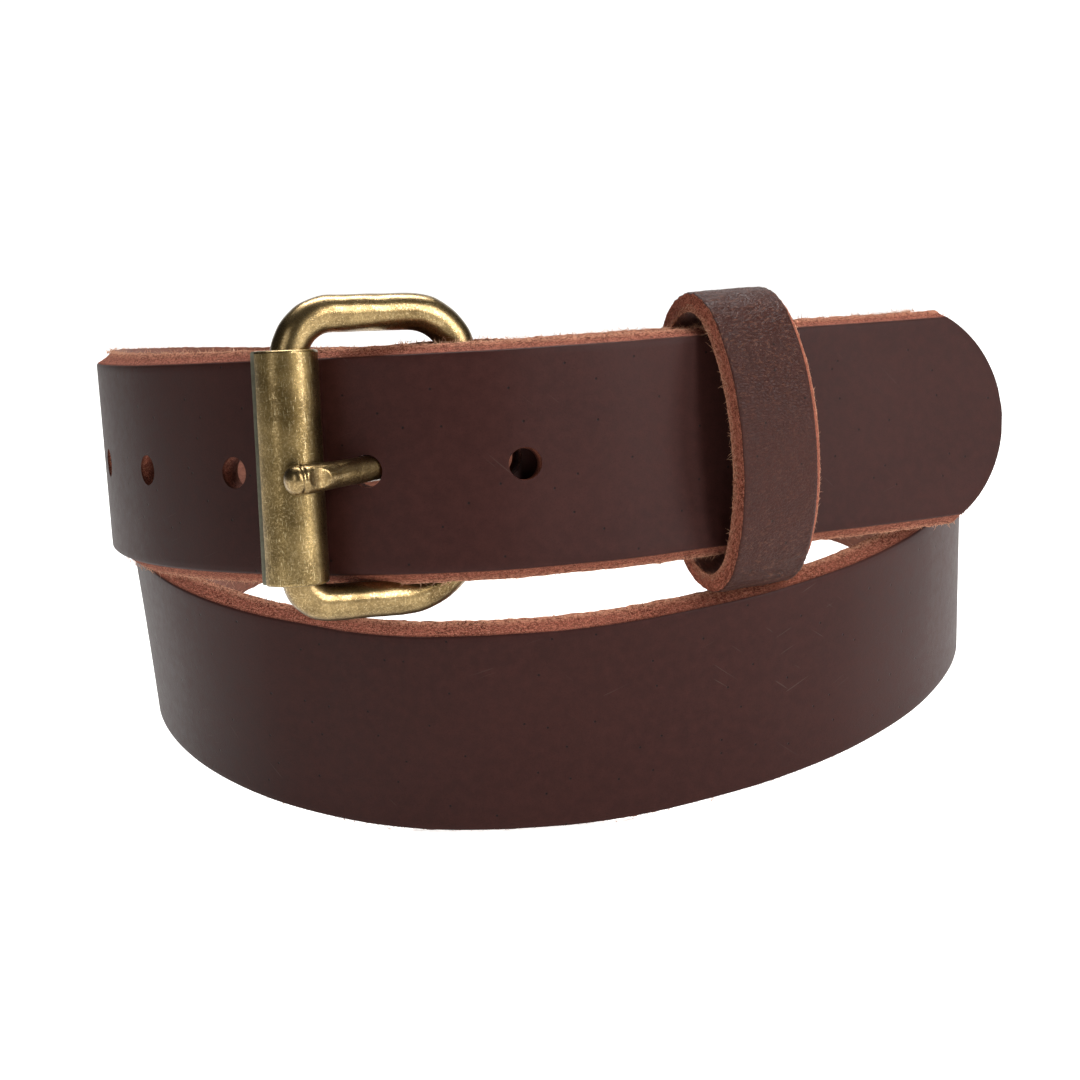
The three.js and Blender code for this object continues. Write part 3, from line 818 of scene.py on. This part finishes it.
def grain_leather(name, dark, light, creased=False):
    """Waxed full-grain hide: cloudy dye, fine grain, pinholes, a few scratches and a dull gloss.

    A creased hide is pebbled too, with painted shade in the pebbles' valleys, and worn where the keeper
    bends.
    """
    s = Shader(name)
    flat = s.flat()
    cloud = s.noise(s.scaled(flat, (0.6, 1, 1)), 0.04, 4)
    mottle = s.noise(flat, 0.5, 7, 0.7)
    fine = s.noise(flat, 4.0, 5, 0.75)
    dye = s.mix(s.ramp(cloud, [(0.3, 0), (0.72, 1)]), rgb(dark), rgb(light))
    dye = s.mix(s.ramp(mottle, [(0.4, 0), (0.72, 0.6)]), dye, rgb(light, 1.35))
    dye = s.mix(s.ramp(fine, [(0.3, 0.5), (0.5, 0)]), dye, rgb(dark, 0.55))
    patch = s.ramp(s.noise(flat, 0.03, 2), [(0.52, 0), (0.62, 1)])
    for turn, seed in ((0.75, 0), (-0.3, 40)):
        turned = s.add("Mapping", {"Vector": flat, "Rotation": (0, 0, turn), "Location": (seed, 0, 0)})
        mark = s.ramp(s.noise(s.scaled(turned, (0.1, 2.4, 0)), 1.0, 2, 0.3), [(0.735, 0), (0.76, 1)])
        mark = s.math("MULTIPLY", s.math("MULTIPLY", mark, patch), 0.3)
        dye = s.mix(mark, dye, rgb(SCRATCHED_DYE))
    pin = s.ramp(s.cells(flat, 0.12, dimensions="2D"), [(0.017, 1), (0.028, 0)])
    dye = s.mix(s.math("MULTIPLY", pin, 0.85), dye, rgb(PINHOLE))
    normal = s.bump(fine, 0.30, 0.00005)
    normal = s.bump(s.cells(flat, 1.7), 0.12, 0.00006, normal)
    normal = s.bump(s.math("SUBTRACT", 1.0, pin), 0.5, 0.0001, normal)
    if creased:
        dye, normal = creases(s, flat, dark, dye, normal)
    s.surface.inputs["Sheen Weight"].default_value = 0.01
    s.surface.inputs["Sheen Roughness"].default_value = 0.45
    s.surface.inputs["Sheen Tint"].default_value = (0.75, 0.85, 0.72, 1)
    s.surface.inputs["IOR"].default_value = KEEPER_IOR if creased else STRAP_IOR
    gloss = [(0.3, 0.34), (0.75, 0.46)] if creased else [(0.3, 0.46), (0.75, 0.56)]
    return s.finish(Base_Color=dye, Roughness=s.ramp(mottle, gloss), Normal=normal)


def cut_leather(name, light, dark, dyed_rim, hole_shade_end):
    """A cut edge: terracotta core, packed fibres, pale nap at the flesh rim, pits, dyed grain rim.

    Up to the given length along the strip, cut faces near the middle are the walls of holes, darkened
    there with painted shade that deepens towards the flesh side.
    """
    s = Shader(name)
    flat = s.flat()
    along = s.part(flat, 0)
    depth = s.math("ADD", s.math("DIVIDE", s.part(flat, 2), STRAP["thickness"]), 0.5)
    fibres = s.noise(s.scaled(flat, (1, 1, 1.8)), 1.6, 8, 0.8)
    pits = s.noise(s.scaled(flat, (1.3, 1.3, 2)), 3.6, 4, 0.75)
    tone = s.mix(s.ramp(fibres, [(0.45, 0), (0.55, 1)]), rgb(dark), rgb(light))
    tone = s.mix(s.ramp(pits, [(0.4, 0.9), (0.5, 0)]), tone, rgb(dark, 0.4))
    tone = s.mix(s.ramp(pits, [(0.55, 0), (0.64, 0.85)]), tone, rgb(PALE_NAP))
    patches = s.ramp(s.noise(flat, 0.12, 3), [(0.4, 0), (0.7, 0.5)])
    tone = s.mix(patches, tone, rgb(light, 0.6))
    napped = s.ramp(fibres, [(0.44, 0), (0.56, 0.75)])
    rim = s.math("MULTIPLY", s.ramp(depth, [(0.05, 1), (0.4, 0)]), napped)
    tone = s.mix(rim, tone, rgb(PALE_NAP))
    tone = s.mix(s.ramp(depth, [(0.80, 0), (0.97, dyed_rim)]), tone, rgb(dark, 0.45))
    side = s.math("ABSOLUTE", s.part(flat, 1))
    in_middle = s.math("LESS_THAN", side, HOLE_REGION)
    hole_walls = s.math("MULTIPLY", in_middle, s.math("LESS_THAN", along, hole_shade_end))
    # Painted shade inside the punched holes: their walls are darkened, most towards the flesh side.
    inside = s.math("MULTIPLY", hole_walls, s.ramp(depth, [(0.3, 0.88), (0.85, 0.1)]))
    tone = s.mix(inside, tone, rgb(dark, 0.5))
    normal = s.bump(fibres, 1.0, 0.0006)
    normal = s.bump(pits, 0.8, 0.0002, normal)
    s.surface.inputs["IOR"].default_value = RAW_LEATHER_IOR
    return s.finish(Base_Color=tone, Roughness=0.85, Normal=normal)


def flesh_leather(name, light, dark):
    """The suede side of the hide, with loose nap."""
    s = Shader(name)
    flat = s.flat()
    nap = s.noise(s.scaled(flat, (0.6, 1.4, 1)), 1.3, 6, 0.7)
    cloud = s.noise(flat, 0.06, 3)
    tone = s.mix(s.ramp(nap, [(0.3, 0), (0.7, 1)]), rgb(dark), rgb(light))
    tone = s.mix(s.ramp(cloud, [(0.4, 0), (0.7, 0.45)]), tone, rgb(dark, 0.7))
    normal = s.bump(nap, 0.7, 0.0003)
    s.surface.inputs["IOR"].default_value = RAW_LEATHER_IOR
    s.surface.inputs["Sheen Weight"].default_value = 0.12
    s.surface.inputs["Sheen Roughness"].default_value = 0.6
    return s.finish(Base_Color=tone, Roughness=0.92, Normal=normal)


def antique_brass(name, patina, bright, sanding):
    """Brass plate, rubbed back from a brown patina: sandy speckle, fine scratches, clean high spots."""
    s = Shader(name)
    solid = s.solid()
    cloud = s.noise(solid, 0.16, 4, 0.55)
    sand = s.noise(solid, 2.4, 8, 0.85)
    pits = s.noise(solid, 11.0, 3, 0.65)
    scratch = s.noise(s.scaled(solid, (6, 6, 0.25), (0.06, 0, 0.3)), 1.5, 2, 0.4)
    scratch_round = s.noise(s.scaled(solid, (0.4, 0.4, 7), (0.25, 0.1, 0)), 1.2, 2, 0.4)
    metal = s.mix(s.ramp(cloud, [(0.36, 0), (0.64, 1)]), rgb(patina), rgb(bright))
    metal = s.mix(s.ramp(sand, [(0.38, sanding), (0.52, 0)]), metal, rgb(patina, 0.4))
    metal = s.mix(s.ramp(sand, [(0.53, 0), (0.66, sanding)]), metal, rgb(BARE_BRASS))
    lengthways = s.ramp(scratch, [(0.67, 0), (0.71, 0.55)])
    crossways = s.ramp(scratch_round, [(0.7, 0), (0.74, 0.4)])
    metal = s.mix(s.math("ADD", lengthways, crossways), metal, rgb(SCRATCHED_BRASS))
    gloss = s.ramp(sand, [(0.38, 0.36), (0.6, 0.25)])
    normal = s.bump(sand, 0.2, 0.00006)
    normal = s.bump(pits, 0.2, 0.00003, normal)
    normal = s.bump(scratch, 0.1, 0.00005, normal)
    s.surface.inputs["Coat Weight"].default_value = 0.2
    s.surface.inputs["Coat Roughness"].default_value = 0.16
    return s.finish(Base_Color=metal, Metallic=1.0, Roughness=gloss, Normal=normal)


def bare_steel(name, dark, light):
    s = Shader(name)
    solid = s.solid()
    tone = s.mix(s.noise(solid, 1.2, 3), rgb(dark), rgb(light))
    normal = s.bump(s.noise(solid, 6, 2), 0.2, 0.00005)
    return s.finish(Base_Color=tone, Metallic=1.0, Roughness=0.36, Normal=normal)


def fibre_material(name, colour):
    s = Shader(name)
    solid = s.solid()
    tone = s.mix(s.noise(solid, 0.6, 2), rgb(colour, 0.6), rgb(colour))
    return s.finish(Base_Color=tone, Roughness=0.75)


# ---------- loose fibres on the flesh-side rims ----------
def make_fuzz(name, fibres, strip_length, half_width_at, half_thick, cut, bend, material):
    """Thin curved hairs, each a closed three-sided spike, rooted in the lower half of the edge."""
    random = np.random.default_rng(fibres["seed"])
    steps, sides = 4, 3
    all_points, faces = [], []
    along = random.uniform(1, strip_length - 0.3, fibres["count"])
    side = np.where(random.uniform(size=fibres["count"]) < 0.5, -1, 1)
    for n in range(fibres["count"]):
        clump = 0.5 + 0.5 * rough((along[n] * 0.35, side[n] * 5.0, 0), 1.0, 11.0)
        length = fibres["longest"] * random.uniform(0.15, 1) ** 2 * (0.35 + clump)
        height = random.uniform(-1, -0.2) * half_thick
        start = np.array([along[n], side[n] * (half_width_at(along[n]) - 0.12), height])
        away = np.array([random.normal(0, 0.8), side[n] * random.uniform(0.3, 1),
                         random.normal(-0.25, 0.45)])
        curl = random.normal(0, 0.6, 3) * [1, 0.4, 1]
        thick = random.uniform(0.045, 0.085)
        base = len(all_points)
        for k in range(steps):
            share = k / (steps - 1)
            centre = start + away * length * share + curl * length * share ** 2
            for j in range(sides):
                turn = 2 * math.pi * j / sides
                offset = np.array([math.cos(turn), 0, math.sin(turn)]) * thick * (1 - 0.85 * share)
                all_points.append(centre + offset)
        faces += [tuple(base + index for index in face) for face in capped_faces(steps, sides)]
    points = np.array(all_points)
    piece = new_object(name, bend(cut(points)), faces)
    piece.data.materials.append(material)
    return piece


# ---------- the belt ----------
edge = cut_leather("strap_cut_edge", EDGE_LIGHT, EDGE_DARK, 0.8, route.total - TIP["length"] - 2)
# The keeper's cut edge is the strap's edge made about a third brighter: painted light, standing in for
# light falling on the keeper's cut face.
keeper_edge_painted_lighter = cut_leather("keeper_cut_edge_painted_light", rgb(EDGE_LIGHT, 1.35)[:3], rgb(EDGE_DARK, 1.3)[:3], 0.1, 0)
flesh = flesh_leather("strap_flesh_side", (0.24, 0.085, 0.05), (0.10, 0.034, 0.021))
strap_grain = grain_leather("strap_grain_side", (0.0225, 0.0058, 0.0044), (0.030, 0.0083, 0.0064))
keeper_grain = grain_leather("keeper_grain_side", (0.024, 0.0060, 0.0040), (0.035, 0.0095, 0.0064), True)
frame_brass = antique_brass("buckle_antique_brass", (0.135, 0.084, 0.031), (0.32, 0.222, 0.096), 0.5)
roller_brass = antique_brass("roller_antique_brass", (0.125, 0.082, 0.028), (0.29, 0.20, 0.08), 0.6)
steel = bare_steel("staple_steel_wire", (0.32, 0.31, 0.29), (0.62, 0.61, 0.58))
roller_edge = bare_steel("roller_bare_edge", (0.13, 0.125, 0.09), (0.27, 0.26, 0.20))
fibre = fibre_material("edge_fibres", (0.62, 0.32, 0.19))

strap = make_strap([strap_grain, flesh, edge])
strap_fuzz = make_fuzz("strap_edge_fibres", STRAP_FIBRES, route.total, flared_half_width,
                       STRAP["thickness"] / 2, slant, route.bend, fibre)
keeper = make_keeper([keeper_grain, flesh, keeper_edge_painted_lighter])
keeper_fuzz = make_fuzz("keeper_edge_fibres", KEEPER_FIBRES, keeper_bend.total - KEEPER["joint"],
                        lambda along: KEEPER["width"] / 2 + KEEPER_FIBRES["overhang"],
                        KEEPER["thickness"] / 2, keeper_slant, keeper_bend.bend, fibre)
buckle_wire = make_frame(frame_brass)
roller = make_roller(roller_brass, roller_edge)
prong = make_prong(frame_brass)

for piece in (strap, strap_fuzz):
    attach(piece, "root")
for piece in (keeper, keeper_fuzz):
    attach(piece, "keeper")
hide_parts("strap")
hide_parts("keeper_loop")
for piece, body in ((buckle_wire, "buckle_frame"), (roller, "roller"), (prong, "prong")):
    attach(piece, body)
    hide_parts(body)

for i, angle in enumerate(SCREW["angles"], 1):
    post = make_stud(f"post_{i}", angle, 1, False, frame_brass)
    screw = make_stud(f"slotted_screw_{i}", angle, -1, True, frame_brass)
    for piece, node in ((post, f"screw_post_{i}"), (screw, f"post_screw_{i}")):
        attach(piece, "root")
        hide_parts(node)

for i, shift in enumerate((-STAPLE["spread"], STAPLE["spread"]), 1):
    staple = make_staple(f"staple_wire_{i}", shift, steel)
    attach(staple, "keeper")
    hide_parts(f"keeper_staple_{i}")


# ---------- studio ----------
FLOOR_REACH, FLOOR_GAP = 6.0, 0.1
# Places in metres from the coil's centre, sizes in metres, powers in watts.
LIGHTS = [
    ("top_box", (0.0, 0.3, 0.95), (0.8, 0.35), 16),
    ("right_box", (0.72, -0.44, 0.32), (0.24, 0.55), 3.9),
    ("front_box", (0.44, -0.56, 0.41), (0.13, 0.42), 3.8),
    ("left_box", (-0.50, -0.72, 0.35), (0.3, 0.5), 1.0),
]
# The world is bright towards +Y and dim elsewhere, with a soft change between.
BACKDROP = {"From Min": 0.7, "From Max": 0.94, "To Min": 0.04, "To Max": 1.1}
CAMERA = {"place": (-2, -386.5, 104.8), "pitch": 80, "roll": -3.55, "lens": 63.33}


def make_floor():
    s = Shader("floor_paper")
    tone = s.mix(s.noise(s.solid(), 0.004, 2), rgb((0.46, 0.46, 0.455)), rgb((0.5, 0.5, 0.495)))
    s.surface.inputs["Emission Color"].default_value = (1, 1, 0.985, 1)
    s.surface.inputs["Emission Strength"].default_value = 1.0
    s.finish(Base_Color=tone, Roughness=0.9)
    s.surface.inputs["Specular IOR Level"].default_value = 0.1
    mesh = bpy.data.meshes.new("floor")
    low = -(FLOOR_DROP + FLOOR_GAP) * MM
    corners = [(x * FLOOR_REACH, y * FLOOR_REACH, low) for x, y in ((-1, -1), (1, -1), (1, 1), (-1, 1))]
    mesh.from_pydata(corners, [], [(0, 1, 2, 3)])
    floor = bpy.data.objects.new("floor", mesh)
    mesh.materials.append(s.material)
    bpy.context.scene.collection.objects.link(floor)


def make_light(name, place, size, power):
    """An area light, aimed at the belt."""
    light = bpy.data.lights.new(name, "AREA")
    light.shape = "RECTANGLE"
    light.size, light.size_y = size
    light.energy = power
    lamp = bpy.data.objects.new(name, light)
    lamp.location = place
    lamp.rotation_euler = (Vector((0, 0, 0.05)) - Vector(place)).to_track_quat("-Z", "Y").to_euler()
    bpy.context.scene.collection.objects.link(lamp)


def make_world():
    """A bright backdrop behind the belt; the rest of the studio is dim."""
    world = bpy.data.worlds.new("studio")
    bpy.context.scene.world = world
    world.use_nodes = True
    tree = world.node_tree
    background = tree.nodes["Background"]
    place = tree.nodes.new("ShaderNodeTexCoord")
    split = tree.nodes.new("ShaderNodeSeparateXYZ")
    ramp = tree.nodes.new("ShaderNodeMapRange")
    tree.links.new(place.outputs["Generated"], split.inputs[0])
    tree.links.new(split.outputs["Y"], ramp.inputs["Value"])
    ramp.interpolation_type = "SMOOTHSTEP"
    for key, value in BACKDROP.items():
        ramp.inputs[key].default_value = value
    tree.links.new(ramp.outputs[0], background.inputs["Strength"])
    background.inputs["Color"].default_value = (1, 1, 0.99, 1)


def make_camera():
    camera = bpy.data.cameras.new("camera")
    camera.lens = CAMERA["lens"]
    camera.sensor_width = 36
    camera.clip_start = 0.01
    viewer = bpy.data.objects.new("camera", camera)
    place = (Vector(CAMERA["place"]) + COIL) * MM
    pitch = Matrix.Rotation(math.radians(CAMERA["pitch"]), 4, "X")
    roll = Matrix.Rotation(math.radians(CAMERA["roll"]), 4, "Z")
    viewer.matrix_world = Matrix.Translation(place) @ pitch @ roll
    bpy.context.scene.collection.objects.link(viewer)
    bpy.context.scene.camera = viewer


make_floor()
make_world()
for light in LIGHTS:
    make_light(*light)
make_camera()
bpy.context.scene.view_settings.view_transform = "Standard"
